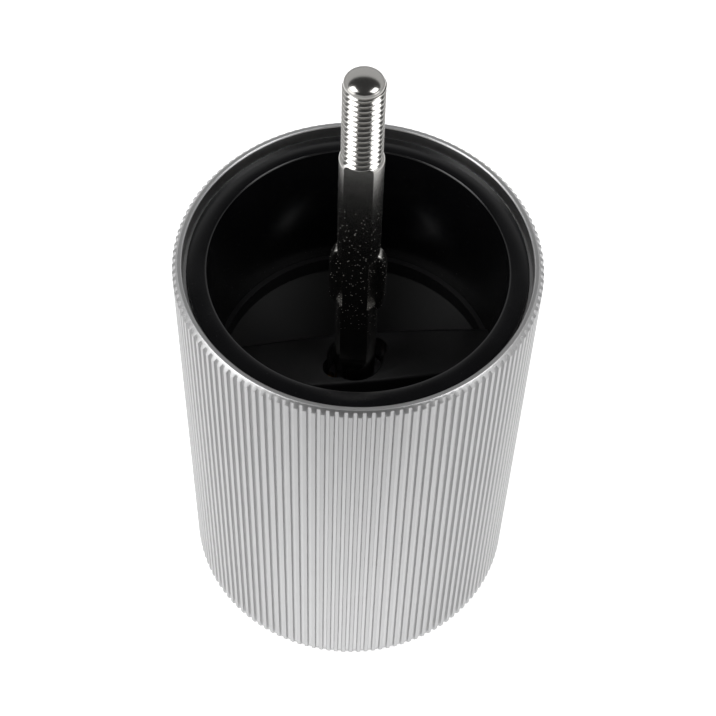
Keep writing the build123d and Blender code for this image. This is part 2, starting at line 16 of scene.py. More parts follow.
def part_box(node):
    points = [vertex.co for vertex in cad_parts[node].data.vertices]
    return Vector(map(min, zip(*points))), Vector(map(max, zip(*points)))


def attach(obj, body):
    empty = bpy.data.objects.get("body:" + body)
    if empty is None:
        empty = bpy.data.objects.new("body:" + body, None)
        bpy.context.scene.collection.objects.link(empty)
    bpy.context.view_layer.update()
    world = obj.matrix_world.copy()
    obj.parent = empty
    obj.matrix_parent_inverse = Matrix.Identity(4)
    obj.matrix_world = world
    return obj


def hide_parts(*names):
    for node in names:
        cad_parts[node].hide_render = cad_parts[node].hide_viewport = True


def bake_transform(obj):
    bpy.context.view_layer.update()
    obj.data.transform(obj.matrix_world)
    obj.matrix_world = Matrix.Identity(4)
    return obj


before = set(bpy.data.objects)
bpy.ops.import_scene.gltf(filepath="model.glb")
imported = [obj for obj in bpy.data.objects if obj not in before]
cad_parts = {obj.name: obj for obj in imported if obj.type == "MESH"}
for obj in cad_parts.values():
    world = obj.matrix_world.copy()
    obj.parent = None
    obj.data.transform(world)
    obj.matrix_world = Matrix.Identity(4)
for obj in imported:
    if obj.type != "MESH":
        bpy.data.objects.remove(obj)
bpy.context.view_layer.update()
print("nodes:", len(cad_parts))

# %% [markdown]
# Everything in Blender is in metres, but a maker thinks of a grinder in millimetres. One factor keeps the
# lesson readable: `28 * mm` is the radius of the body.

# %% Millimetres, and the heights that the engineering model gives
mm = 0.001


def low(node):
    """The height of a node's lowest point."""
    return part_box(node)[0].z


def high(node):
    """The height of a node's highest point."""
    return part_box(node)[1].z


def reach(node):
    """The largest radius of a round node, from its box."""
    return max(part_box(node)[1].x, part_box(node)[1].y)


shell_radius = reach("outer_shell")
shell_top = high("outer_shell")
print("shell radius and height in mm:", round(shell_radius / mm, 2), round(shell_top / mm, 2))

# %% [markdown]
# ## The camera and the light
#
# A small product on a white table is usually photographed from above with a long lens, so the body's sides
# nearly stay parallel. The camera is placed by a point and three angles: how far it turns, how far it looks
# down and how far it leans. A camera in Blender looks along its own -Z, with +Y up, so its matrix has the
# right, up and backward directions as columns.

# %% The camera
camera_place = Vector((0, -164.63, 291.34)) * mm
camera_pan = radians(0.166)
camera_tilt = radians(55.495)
camera_roll = radians(2.088)

forward = Vector((
    sin(camera_pan) * cos(camera_tilt),
    cos(camera_pan) * cos(camera_tilt),
    -sin(camera_tilt),
))
level_right = forward.cross(Vector((0, 0, 1))).normalized()
level_up = level_right.cross(forward)
camera_right = cos(camera_roll) * level_right + sin(camera_roll) * level_up
camera_up = cos(camera_roll) * level_up - sin(camera_roll) * level_right

camera_data = bpy.data.cameras.new("camera")
camera_data.lens = 90.0
camera_data.sensor_width = 36
camera_data.clip_start = 0.01
camera = bpy.data.objects.new("camera", camera_data)
turn_matrix = Matrix((camera_right, camera_up, -forward)).transposed()
camera.matrix_world = Matrix.Translation(camera_place) @ turn_matrix.to_4x4()
bpy.context.scene.collection.objects.link(camera)
bpy.context.scene.camera = camera
print("camera looks down by", round(camera_tilt * 180 / pi, 1), "degrees")

# %% [markdown]
# The light is plain: two soft boxes high up, left and right, over a flat white table with a white sweep in the
# surround behind the grinder. A round steel shaft mirrors each box as a long bright line, which is what makes
# its thread readable, and the dark ceiling between the boxes gives the dark middle. Two weaker boxes near the
# table light the chamfered rim. The white sweep reaches higher at the back than at the sides. The standard view
# transform keeps the white table white.

# %% The surround
scene = bpy.context.scene
scene.view_settings.view_transform = "Standard"
world = bpy.data.worlds.new("studio")
scene.world = world
world.use_nodes = True
studio = world.node_tree
direction = studio.nodes.new("ShaderNodeTexCoord")
split = studio.nodes.new("ShaderNodeSeparateXYZ")
back_edge = studio.nodes.new("ShaderNodeMath")
back_edge.operation = "MULTIPLY_ADD"
back_edge.inputs[1].default_value = 0.5
back_edge.inputs[2].default_value = 0.4
edge = studio.nodes.new("ShaderNodeMath")
edge.operation = "MAXIMUM"
edge.inputs[1].default_value = 0.35
above_edge = studio.nodes.new("ShaderNodeMath")
above_edge.operation = "SUBTRACT"
sweep = studio.nodes.new("ShaderNodeMapRange")
sweep.interpolation_type = "SMOOTHSTEP"
sweep_light, ceiling_light = 0.62, 0.05
for socket, value in (
    ("From Min", -0.06), ("From Max", 0.06), ("To Min", sweep_light), ("To Max", ceiling_light)
):
    sweep.inputs[socket].default_value = value
studio.links.new(direction.outputs["Generated"], split.inputs[0])
studio.links.new(split.outputs["Y"], back_edge.inputs[0])
studio.links.new(back_edge.outputs[0], edge.inputs[0])
studio.links.new(split.outputs["Z"], above_edge.inputs[0])
studio.links.new(edge.outputs[0], above_edge.inputs[1])
studio.links.new(above_edge.outputs[0], sweep.inputs["Value"])
studio.links.new(sweep.outputs[0], studio.nodes["Background"].inputs["Strength"])
studio.nodes["Background"].inputs["Color"].default_value = (1, 1, 1, 1)


# %% The lamps
aim_height = 60 * mm


def soft_box(name, side_angle, height_angle, distance, size, power):
    """A square lamp that faces the body: side_angle is 0 at the right and 90 at the back, in degrees."""
    data = bpy.data.lights.new(name, "AREA")
    data.shape = "SQUARE"
    data.size = size
    data.energy = power
    lamp = bpy.data.objects.new(name, data)
    side, lift = radians(side_angle), radians(height_angle)
    away = Vector((cos(side) * cos(lift), sin(side) * cos(lift), sin(lift)))
    lamp.location = Vector((0, 0, aim_height)) + away * distance
    lamp.rotation_euler = away.to_track_quat("Z", "Y").to_euler()
    scene.collection.objects.link(lamp)
    return lamp


soft_box("left_box", 195, 50, 0.75, 0.36, 1.9)
soft_box("right_box", -18, 50, 0.8, 0.36, 1.7)
soft_box("low_left_box", 203, 15, 0.75, 0.55, 1.3)
soft_box("low_right_box", -25, 14, 0.9, 0.4, 0.6)

# %% [markdown]
# ## Writing finishes as sums
#
# A finish is a net of shader nodes. Wiring each sum by hand hides the idea, so a small class wraps one socket
# and lets us write `1 - dust * 0.5`: each operator adds the Math node that it stands for. Any other node comes
# from `node`, which takes the node's type, its settings and the values or links of its sockets.

# %% A socket that can be added and multiplied
class Wire:
    """One output socket of a finish's node tree."""

    def __init__(self, tree, socket):
        self.tree = tree
        self.socket = socket

    def node(self, kind, settings=None, inputs=None, output=0):
        made = self.tree.nodes.new(kind)
        for name, value in (settings or {}).items():
            if name == "stops":
                ramp = made.color_ramp
                for spot, shade in zip((ramp.elements[0], ramp.elements[1]), (value[0], value[-1])):
                    spot.position, spot.color = shade[0], (*[shade[1]] * 3, 1)
                for place, level in value[1:-1]:
                    ramp.elements.new(place).color = (level, level, level, 1)
            else:
                setattr(made, name, value)
        for name, value in (inputs or {}).items():
            if isinstance(value, Wire):
                self.tree.links.new(value.socket, made.inputs[name])
            else:
                made.inputs[name].default_value = value
        return Wire(self.tree, made.outputs[output])

    def maths(self, operation, first, second=0.0):
        return self.node("ShaderNodeMath", {"operation": operation}, {0: first, 1: second})

    def __add__(self, other):
        return self.maths("ADD", self, other)

    def __radd__(self, other):
        return self.maths("ADD", other, self)

    def __sub__(self, other):
        return self.maths("SUBTRACT", self, other)

    def __rsub__(self, other):
        return self.maths("SUBTRACT", other, self)

    def __mul__(self, other):
        return self.maths("MULTIPLY", self, other)

    def __rmul__(self, other):
        return self.maths("MULTIPLY", other, self)

    def __gt__(self, other):
        return self.maths("GREATER_THAN", self, other)

    def between(self, low_edge, high_edge):
        """0 below the first edge, 1 above the second, and a smooth rise in between."""
        settings = {"interpolation_type": "SMOOTHSTEP"}
        edges = {"Value": self, "From Min": low_edge, "From Max": high_edge, "To Min": 0.0, "To Max": 1.0}
        return self.node("ShaderNodeMapRange", settings, edges)


print("a Wire has the operators + - * > and the method between()")

# %% [markdown]
# Each finish starts the same way: a new material, its Principled shader, and the object's own coordinates.
# Object coordinates stay with the piece when it moves. `stretch` squeezes them along one axis, which turns a
# round speckle into the long scratches that brushing or turning leaves.

# %% The start of every finish, and the patterns it draws on
class Finish:
    """A material with its main shader, and the patterns that it is made from."""

    def __init__(self, name, colour, metallic, roughness):
        self.material = bpy.data.materials.new(name)
        self.material.use_nodes = True
        tree = self.material.node_tree
        self.shader = tree.nodes["Principled BSDF"]
        self.shader.inputs["Base Color"].default_value = (*colour, 1)
        self.shader.inputs["Metallic"].default_value = metallic
        self.shader.inputs["Roughness"].default_value = roughness
        places = tree.nodes.new("ShaderNodeTexCoord")
        self.place = Wire(tree, places.outputs["Object"])

    def part(self, axis):
        """One coordinate, X, Y or Z, in millimetres."""
        outputs = {"X": 0, "Y": 1, "Z": 2}
        split = self.place.node("ShaderNodeSeparateXYZ", None, {0: self.place}, outputs[axis])
        return split * (1 / mm)

    def radius(self):
        """The distance from the shaft's axis, in millimetres."""
        flat = self.place.node(
            "ShaderNodeVectorMath", {"operation": "MULTIPLY"}, {0: self.place, 1: (1, 1, 0)}
        )
        length = self.place.node("ShaderNodeVectorMath", {"operation": "LENGTH"}, {0: flat}, 1)
        return length * (1 / mm)

    def grain(self, size, stretch=(1, 1, 1), detail=3.0):
        """Noise from 0 to 1 with specks of about size millimetres."""
        squeezed = self.place.node("ShaderNodeMapping", None, {"Vector": self.place, "Scale": stretch})
        values = {"Vector": squeezed, "Scale": 1 / (size * mm), "Detail": detail, "Roughness": 0.6}
        return self.place.node("ShaderNodeTexNoise", None, values)

    def specks(self, size):
        """The distance to the nearest of many scattered points, 0 at a point."""
        values = {"Vector": self.place, "Scale": 1 / (size * mm), "Randomness": 1.0}
        return self.place.node("ShaderNodeTexVoronoi", None, values)

    def tint(self, amount, dark, light):
        """The base colour, between two colours."""
        values = {0: amount, 6: (*dark, 1), 7: (*light, 1)}
        mixed = self.place.node("ShaderNodeMix", {"data_type": "RGBA"}, values, 2)
        self.feed("Base Color", mixed)
        return mixed

    def feed(self, socket, wire):
        self.material.node_tree.links.new(wire.socket, self.shader.inputs[socket])

    def bump(self, height, depth):
        """Raise the surface by depth millimetres where height is 1."""
        values = {"Height": height, "Distance": depth * mm, "Strength": 1.0}
        self.feed("Normal", self.place.node("ShaderNodeBump", None, values))


print("patterns: grain, specks, tint, bump")

# %% [markdown]
# ### Blasted aluminium
#
# The tube was turned, ribbed, blasted with fine glass beads and anodised clear. Blasting leaves a satin skin
# of tiny dents: a fine bump and a satin roughness. Hands dull the crests a little and leave the grooves clean,
# so both follow the radius. The flat rim was cut after blasting, so it is brighter.

# %% Blasted aluminium
aluminium = Finish("blasted_aluminium", (0.54, 0.54, 0.55), 1.0, 0.42)
crest = aluminium.radius().between(27.45, 27.95)
rim_face = aluminium.part("Z").between(78.24, 78.29)
dents = aluminium.grain(0.16, detail=2.0)
cloud = aluminium.grain(9.0)
aluminium.tint(0.45 - crest * 0.4 + cloud * 0.3 + rim_face * 0.5, (0.43, 0.43, 0.432), (0.62, 0.62, 0.622))
aluminium.feed("Roughness", 0.32 + crest * 0.03 + cloud * 0.05 + rim_face * 0.08)
aluminium.bump(dents * (1 - rim_face), 0.012)
print(aluminium.material.name)

# %% [markdown]
# ### Black plastics
#
# Moulded black plastic is never pure black. It has a soft sheen with faint flow marks, and it shows fine
# scuffs and a little coffee dust. The liner is smoother than the bar, which has a fine spark-eroded texture.

# %% Black plastics
liner_black = Finish("liner_black", (0.004, 0.004, 0.005), 0.0, 0.2)
flow = liner_black.grain(6.0, (1, 1, 0.3))
liner_dust = liner_black.specks(0.9).between(0.10, 0.02)
liner_black.tint(flow * 0.7 + liner_dust * 0.3, (0.002, 0.002, 0.0025), (0.006, 0.006, 0.007))
liner_black.feed("Roughness", 0.16 + flow * 0.08 + liner_dust * 0.3)
liner_black.bump(liner_black.grain(0.5), 0.002)

bar_black = Finish("bar_black", (0.006, 0.006, 0.007), 0.0, 0.45)
bar_cloud = bar_black.grain(3.0)
bar_black.tint(bar_cloud, (0.004, 0.004, 0.0045), (0.009, 0.009, 0.010))
bar_black.feed("Roughness", 0.42 + bar_cloud * 0.16)
bar_black.bump(bar_black.grain(0.18), 0.02)
print(liner_black.material.name, bar_black.material.name)

# %% [markdown]
# ### Steels
#
# A turned shaft has fine lines round its axis, and a milled flat has lines along it. Both are long thin noise:
# stretched round or along the shaft, and the flats also keep small tool marks. Fine coffee dust clings to the
# middle of the flats, where fingers don't wipe it:
# small pale specks that are rough and not metallic.

# %% Steels
shaft_steel = Finish("shaft_steel", (0.62, 0.61, 0.59), 1.0, 0.2)
turned_lines = shaft_steel.grain(0.35, (0.25, 0.25, 4.0))
milled_lines = shaft_steel.grain(0.30, (3.0, 3.0, 0.08))
height_up = shaft_steel.part("Z")
flats_zone = height_up.between(55.5, 56.5) * (1 - height_up.between(100.9, 101.5))
dusty_zone = height_up.between(60.0, 69.0) * (1 - height_up.between(80.0, 96.0))
dust = shaft_steel.specks(0.55).between(0.16, 0.06) * dusty_zone
shaft_steel.tint(dust, (0.52, 0.51, 0.49), (0.80, 0.77, 0.72))
shaft_steel.feed("Metallic", 1 - dust)
shaft_steel.feed("Roughness", 0.14 + flats_zone * 0.06 + milled_lines * 0.06 + dust * 0.5)
tool_marks = shaft_steel.grain(0.14) * flats_zone
shaft_steel.bump(turned_lines * (1 - flats_zone) + milled_lines * flats_zone + tool_marks * 2, 0.004)


def plain_steel(name, dark, light, roughness, lines):
    """A steel with fine lines: (1, 1, 8) is turned, (8, 1, 1) is rolled along X."""
    steel = Finish(name, light, 1.0, roughness)
    marks = steel.grain(0.3, lines)
    haze = steel.grain(2.5)
    steel.tint(haze, dark, light)
    steel.feed("Roughness", roughness - 0.06 + marks * 0.12)
    steel.bump(marks, 0.005)
    return steel


burr_steel = plain_steel("burr_steel", (0.30, 0.30, 0.31), (0.44, 0.44, 0.45), 0.32, (1, 1, 3))
plate_steel = plain_steel("plate_steel", (0.50, 0.50, 0.50), (0.62, 0.62, 0.62), 0.3, (6, 0.4, 1))
spring_steel = plain_steel("spring_steel", (0.20, 0.20, 0.21), (0.32, 0.32, 0.34), 0.35, (1, 1, 4))
zinc = plain_steel("zinc", (0.55, 0.56, 0.58), (0.68, 0.69, 0.72), 0.28, (1, 1, 5))
bright_steel = plain_steel("bright_steel", (0.66, 0.66, 0.67), (0.78, 0.78, 0.79), 0.12, (1, 1, 1))
brass = plain_steel("brass", (0.60, 0.42, 0.18), (0.78, 0.58, 0.28), 0.28, (1, 1, 6))
bronze = plain_steel("bronze", (0.36, 0.22, 0.11), (0.52, 0.34, 0.18), 0.42, (1, 1, 1))
print("steels and brasses:", 8)

# %% [markdown]
# ### Matt plastic and rubber
#
# The housing is glass-filled nylon: matt, with a faint swirl where the melt met. Rubber is duller still.

# %% Matt plastic and rubber
def matt(name, dark, light, roughness, texture):
    """A matt moulded finish with a texture of about that many millimetres."""
    skin = Finish(name, light, 0.0, roughness)
    swirl = skin.grain(4.0, (1, 1, 0.5))
    skin.tint(swirl, dark, light)
    skin.feed("Roughness", roughness - 0.08 + swirl * 0.16)
    skin.bump(skin.grain(texture), 0.015)
    return skin


housing_black = matt("housing_black", (0.004, 0.004, 0.0045), (0.010, 0.010, 0.011), 0.6, 0.25)
dial_black = matt("dial_black", (0.016, 0.016, 0.017), (0.032, 0.032, 0.034), 0.5, 0.2)
rubber = matt("rubber", (0.014, 0.014, 0.014), (0.03, 0.03, 0.03), 0.75, 0.12)
print("matt finishes:", 3)

# %% [markdown]
# ## Pieces from bmesh
#
# Most of a grinder is turned on a lathe, and a lathe is one operator: `spin` sweeps an outline round the axis.
# The outline is a short list of corners, in millimetres: radius first, height second. Corners are then
# softened with `bevel`, because no real edge is perfectly sharp and only a soft edge catches the light.

# %% The lathe, the edge softener and the bench
def lathe(corners, steps=192):
    """Spin a closed outline of (radius, height) corners into a solid of revolution."""
    bm = bmesh.new()
    points = [bm.verts.new((radius * mm, 0, height * mm)) for radius, height in corners]
    edges = [bm.edges.new(pair) for pair in zip(points, points[1:] + points[:1])]
    bmesh.ops.spin(
        bm, geom=points + edges, axis=(0, 0, 1), cent=(0, 0, 0), angle=tau, steps=steps, use_merge=True
    )
    bmesh.ops.remove_doubles(bm, verts=bm.verts, dist=1e-7)
    bmesh.ops.dissolve_degenerate(bm, edges=bm.edges, dist=1e-7)
    bmesh.ops.recalc_face_normals(bm, faces=bm.faces)
    return bm


def soften(bm, width, segments=2, sharper_than=40, where=None):
    """Bevel the edges that are sharper than an angle, in degrees, and that pass the test `where`."""
    chosen = []
    for edge in bm.edges:
        if len(edge.link_faces) == 2 and edge.calc_face_angle(0) > radians(sharper_than):
            middle = (edge.verts[0].co + edge.verts[1].co) / 2
            if where is None or where(middle / mm):
                chosen.append(edge)
    bmesh.ops.bevel(
        bm, geom=chosen, offset=width * mm, affect="EDGES", segments=segments, profile=0.5,
        material=-1, clamp_overlap=True,
    )
    return bm


def bench(name, bm):
    """Turn a bmesh into an object that lies at the origin."""
    mesh = bpy.data.meshes.new(name)
    bm.to_mesh(mesh)
    bm.free()
    piece = bpy.data.objects.new(name, mesh)
    scene.collection.objects.link(piece)
    return piece


def shade(piece, finish, body, slot, node, smooth_below=30):
    """Give a new piece its finish, smooth shading and the body it rides on, and hide the engineering node it
    stands for.
    """
    piece.data.materials.clear()
    piece.data.materials.append(finish.material)
    for face in piece.data.polygons:
        face.use_smooth = True
    piece.data.set_sharp_from_angle(angle=radians(smooth_below))
    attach(piece, body)
    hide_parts(node)
    print(piece.name, "faces:", len(piece.data.polygons))


# %% [markdown]
# ### The ribbed tube
#
# The tube has 131 straight ribs. One rib is drawn once: an edge chain from the middle of one groove, up over
# the crest, to the middle of the next. The chain is extruded ring by ring, up the wall, over the chamfer,
# across the rim and down the bore. Then `spin` with duplicates copies the finished slice round the axis. The
# chamfer is a cone, so each point of the chain stops where the cone meets its own radius, which gives the
# little teeth along the rim.

# %% One rib, and the tube made from its copies
rib_count = 131
rib_angle = tau / rib_count
rib_depth = 0.5
groove_radius = shell_radius / mm - rib_depth
top = shell_top / mm
rim_chamfer = 0.8
base_chamfer = 0.5
bore = 26.0
lid_recess = (26.5, 75.6)
clip_groove = (26.7, 10.2, 9.0)

rib_chain = (
    (groove_radius, -0.5), (groove_radius, -0.40), (groove_radius, -0.315),
    (groove_radius + 0.06, -0.290), (groove_radius + 0.44, -0.225), (groove_radius + 0.49, -0.195),
    (groove_radius + 0.5, -0.10), (groove_radius + 0.5, 0.10),
    (groove_radius + 0.49, 0.195), (groove_radius + 0.44, 0.225), (groove_radius + 0.06, 0.290),
    (groove_radius, 0.315), (groove_radius, 0.40), (groove_radius, 0.5),
)

rim_outer = shell_radius / mm - rim_chamfer
shell_rings = (
    lambda r: (r, top - (r - rim_outer) - 0.02),
    lambda r: (r - 0.02, top - (r - rim_outer) + 0.01),
    lambda r: (rim_outer + 0.03, top - 0.03),
    lambda r: (rim_outer - 0.03, top),
    lambda r: (lid_recess[0] + 0.2, top),
    lambda r: (lid_recess[0] + 0.15, top - 0.03),
    lambda r: (lid_recess[0] + 0.02, top - 0.16),
    lambda r: (lid_recess[0], top - 0.2),
    lambda r: (lid_recess[0], lid_recess[1]),
    lambda r: (bore, lid_recess[1]),
    lambda r: (bore, clip_groove[1]),
    lambda r: (clip_groove[0], clip_groove[1]),
    lambda r: (clip_groove[0], clip_groove[2]),
    lambda r: (bore, clip_groove[2]),
    lambda r: (bore, 0.24),
    lambda r: (bore + 0.2, 0),
    lambda r: (groove_radius - 0.05, 0),
    lambda r: (r, max(0.02, r - (shell_radius / mm - base_chamfer))),
)


def place_on(vert, radius, height):
    """Move a vertex to a radius and a height, and keep its direction from the axis."""
    direction = Vector((vert.co.x, vert.co.y, 0)).normalized()
    vert.co = direction * radius * mm + Vector((0, 0, height * mm))


def ribbed_tube():
    bm = bmesh.new()
    chain = []
    for radius, share in rib_chain:
        angle = share * rib_angle
        spot = (radius * cos(angle) * mm, radius * sin(angle) * mm, base_chamfer * mm)
        chain.append(bm.verts.new(spot))
    edges = [bm.edges.new(pair) for pair in zip(chain, chain[1:])]
    for vert, (radius, share) in zip(chain, rib_chain):
        place_on(vert, *shell_rings[-1](radius))
    for ring in shell_rings:
        grown = bmesh.ops.extrude_edge_only(bm, edges=edges)["geom"]
        edges = [part for part in grown if isinstance(part, bmesh.types.BMEdge)]
        fresh = {vert for edge in edges for vert in edge.verts}
        for vert in fresh:
            direction = Vector((vert.co.x, vert.co.y)).angle_signed(Vector((1, 0)))
            nearest = min(rib_chain, key=lambda spot: abs(spot[1] * rib_angle - direction))
            place_on(vert, *ring(nearest[0]))
    bmesh.ops.spin(
        bm, geom=bm.verts[:] + bm.edges[:] + bm.faces[:], axis=(0, 0, 1), cent=(0, 0, 0),
        angle=tau - rib_angle, steps=rib_count - 1, use_duplicate=True,
    )
    bmesh.ops.remove_doubles(bm, verts=bm.verts, dist=2e-6)
    bmesh.ops.recalc_face_normals(bm, faces=bm.faces)
    return bm


shade(bench("ribbed_shell", ribbed_tube()), aluminium, "mill_body", "ribbed_aluminium", "outer_shell", 25)

# %% [markdown]
# ### The liner
#
# The liner is a thin black tube with a flange at each end. Its top flange is the ledge just under the rim, and
# the ledge's inner edge is round, so it catches a thin line of light.

# %% The liner
liner_inner = 22.8
liner_outer = 24.2
liner_top = high("hopper_liner") / mm
liner_foot = low("hopper_liner") / mm
flange_radius = reach("hopper_liner") / mm
flange = 1.8

liner = lathe((
    (liner_inner, liner_foot), (flange_radius, liner_foot), (flange_radius, liner_foot + flange),
    (liner_outer, liner_foot + flange), (liner_outer, liner_top - flange),
    (flange_radius, liner_top - flange), (flange_radius, liner_top), (liner_inner, liner_top),
))
soften(liner, 0.4, 4, where=lambda p: p.z > liner_top - 0.1 and p.xy.length < liner_inner + 0.5)
soften(liner, 0.15, 2, sharper_than=60)
shade(bench("liner", liner), liner_black, "mill_body", "black_liner", "hopper_liner")

# %% [markdown]
# ### Carving with booleans
#
# A bar with a keyhole, or a shaft with flats, is easiest the way a workshop does it: make the stock, then cut
# it with a tool of the right shape. The Boolean modifier does that, and its result is kept as the new mesh.

# %% Cutting and joining solids
def apply_tool(piece, tool, operation):
    """Cut a tool from a piece, or join it on, and throw the tool away."""
    modifier = piece.modifiers.new("tool", "BOOLEAN")
    modifier.operation = operation
    modifier.solver = "EXACT"
    modifier.object = tool
    bpy.context.view_layer.update()
    shaped = piece.evaluated_get(bpy.context.evaluated_depsgraph_get())
    result = bpy.data.meshes.new_from_object(shaped)
    piece.modifiers.clear()
    piece.data = result
    bpy.data.objects.remove(tool)
    return piece


def block(x, y, z, centre):
    """A box with sides in millimetres, as a bmesh."""
    bm = bmesh.new()
    size = Matrix.Diagonal((x * mm, y * mm, z * mm, 1))
    bmesh.ops.create_cube(bm, size=1, matrix=Matrix.Translation(Vector(centre) * mm) @ size)
    return bm


def prism(outline, depth, axes):
    """Extrude a flat outline of (u, v) corners by depth. `axes` is (u direction, v direction, origin)."""
    across, up, origin = (Vector(axis) for axis in axes)
    bm = bmesh.new()
    verts = [bm.verts.new((origin + across * u + up * v) * mm) for u, v in outline]
    face = bm.faces.new(verts)
    grown = bmesh.ops.extrude_face_region(bm, geom=[face])["geom"]
    moved = [part for part in grown if isinstance(part, bmesh.types.BMVert)]
    bmesh.ops.translate(bm, verts=moved, vec=across.cross(up) * depth * mm)
    bmesh.ops.recalc_face_normals(bm, faces=bm.faces)
    return bm


def turned_about_z(bm, angle):
    bmesh.ops.rotate(bm, verts=bm.verts, cent=(0, 0, 0), matrix=Matrix.Rotation(angle, 3, "Z"))
    return bm


print("tools: apply_tool, block, prism")

# %% [markdown]
# ### The bar with the keyhole
#
# The bar's long sides are shallow arcs, so it is wider in the middle. Its top edges are rounded, its ends stop
# at the liner, and under it hang a ring and the hub of the bush. The keyhole is a round hole with a slot across
# it, through which the shaft's two ears pass when it is put in.

# %% The bar with the keyhole
bar_top = high("bearing_bridge") / mm
hub_foot = low("bearing_bridge") / mm
ring_foot = 47.0
ring_top = liner_foot
bar_turn = radians(8)
bar_half = 22.4
bar_middle_width = 4.95
bar_end_width = 3.7
keyhole_turn = radians(33)
bar_end_radius = 22.55
ring_inner = 22.0
hub_radius = 8.5
bush_pocket_radius = 5.5
hole_radius = 4.3
slot_reach, slot_radius = 5.8, 2.1


def bar_side(u):
    """Half the bar's width at u along it."""
    return bar_middle_width - (bar_middle_width - bar_end_width) * (u / bar_half) ** 2


arc_steps = [bar_half * step / 12 for step in range(-12, 13)]
bar_outline = [(u, -bar_side(u)) for u in arc_steps] + [(u, bar_side(u)) for u in reversed(arc_steps)]
bar_bm = prism(bar_outline, bar_top - ring_foot, ((1, 0, 0), (0, 1, 0), (0, 0, ring_foot)))
soften(bar_bm, 0.6, 4, sharper_than=60, where=lambda p: p.z > bar_top - 0.01 and abs(p.x) < bar_half - 0.1)
bridge = bench("keyhole_bridge", turned_about_z(bar_bm, bar_turn))

inside_liner = lathe((
    (0, ring_foot - 1), (bar_end_radius, ring_foot - 1), (bar_end_radius, bar_top + 1), (0, bar_top + 1)
))
apply_tool(bridge, bench("tool", inside_liner), "INTERSECT")
bridge_ring = lathe((
    (ring_inner, ring_foot), (flange_radius, ring_foot), (flange_radius, ring_top), (ring_inner, ring_top)
))
apply_tool(bridge, bench("tool", bridge_ring), "UNION")
hub = lathe((
    (0, hub_foot), (hub_radius - 0.5, hub_foot), (hub_radius, hub_foot + 0.5),
    (hub_radius, ring_foot + 0.5), (0, ring_foot + 0.5),
))
apply_tool(bridge, bench("tool", hub), "UNION")
web = turned_about_z(block(2 * bar_half - 4, 3, 2.6, (0, 0, ring_foot - 0.7)), bar_turn)
apply_tool(bridge, bench("tool", web), "UNION")
bush_pocket = lathe((
    (0, hub_foot - 1), (bush_pocket_radius, hub_foot - 1), (bush_pocket_radius, ring_foot), (0, ring_foot)
))
apply_tool(bridge, bench("tool", bush_pocket), "DIFFERENCE")
round_hole = lathe((
    (0, ring_foot - 1), (hole_radius, ring_foot - 1), (hole_radius, bar_top - 0.3),
    (hole_radius + 0.3, bar_top), (hole_radius + 0.3, bar_top + 1), (0, bar_top + 1),
), 64)
slot_centre = slot_reach - slot_radius
slot_corners = [
    (slot_centre + slot_radius * sin(a), -slot_radius * cos(a)) for a in (pi * s / 12 for s in range(13))
]
slot_outline = slot_corners + [(-u, -v) for u, v in slot_corners]
slot_bm = prism(slot_outline, bar_top - ring_foot + 2, ((1, 0, 0), (0, 1, 0), (0, 0, ring_foot - 1)))
apply_tool(bridge, bench("tool", round_hole), "DIFFERENCE")
apply_tool(bridge, bench("tool", turned_about_z(slot_bm, keyhole_turn)), "DIFFERENCE")
shade(bridge, bar_black, "mill_body", "black_bridge", "bearing_bridge")

# %% [markdown]
# ### The shaft
#
# The shaft starts as turned stock: a round bar with a rounded shoulder, a thinner end for the thread and a
# rounded nose. Two flats are milled along it, and the cutter's round leaves the U-shaped ends. The ears were
# made in a press, which pinches the bar from both sides so that metal is pushed out: each ear is a thin plate
# with a sunk pocket beside it.

# %% The stock, the flats and the ears
ear_turn = radians(-8.6)
shaft_radius = 3.25
shoulder = 101.75
thread_crest = 3.0
thread_root = 2.4
pitch = 1.0
nose_foot = 116.0
tip = high("drive_shaft") / mm
shaft_end = low("drive_shaft") / mm
clip_heights = ((45.7, 46.5), (37.5, 38.3))
lower_step = 17.2
adjust_root = 2.02
end_groove = (1.5, 10.0, 10.8)
shoulder_round = 0.7
nose_radius = 2.85
nose_start = nose_foot + 0.3
shoulder_arc = [
    (shaft_radius - shoulder_round * (1 - sin(a)), shoulder - shoulder_round * (1 - cos(a)))
    for a in (pi / 2 * step / 5 for step in range(6))
]
nose_arc = [
    (nose_radius * cos(a), nose_start + (tip - nose_start) * sin(a))
    for a in (pi / 2 * step / 12 for step in range(12))
]
stock_outline = (
    [(0, shaft_end), (adjust_root - 0.2, shaft_end), (adjust_root, shaft_end + 0.2),
     (adjust_root, end_groove[1]), (end_groove[0], end_groove[1]), (end_groove[0], end_groove[2]),
     (adjust_root, end_groove[2]), (adjust_root, lower_step), (shaft_radius, lower_step)]
    + [spot for low_z, high_z in reversed(clip_heights) for spot in (
        (shaft_radius, low_z), (2.9, low_z), (2.9, high_z), (shaft_radius, high_z))]
    + list(reversed(shoulder_arc))
    + [(thread_root, shoulder), (thread_root, nose_foot), (nose_radius, nose_foot + 0.2)]
    + nose_arc
    + [(0, tip)]
)
shaft = bench("crank_shaft", lathe(stock_outline, 96))

flat_cutter_radius = 4.0


def flat_tool(across_flats, end_low, end_high, round_low, round_high):
    """The space that one pass of the flat's cutter clears, on the +Y side."""
    half = across_flats / 2
    middle = half + flat_cutter_radius
    outline = []
    if round_low:
        outline += [(middle - flat_cutter_radius * cos(a), end_low - flat_cutter_radius * sin(a))
                    for a in (pi / 2 * (1 - s / 16) for s in range(17))]
    else:
        outline += [(middle, end_low), (half, end_low)]
    if round_high:
        outline += [(middle - flat_cutter_radius * cos(a), end_high + flat_cutter_radius * sin(a))
                    for a in (pi / 2 * s / 16 for s in range(17))]
    else:
        outline += [(half, end_high), (middle, end_high)]
    return prism(outline, 10, ((0, 1, 0), (0, 0, 1), (-5, 0, 0)))


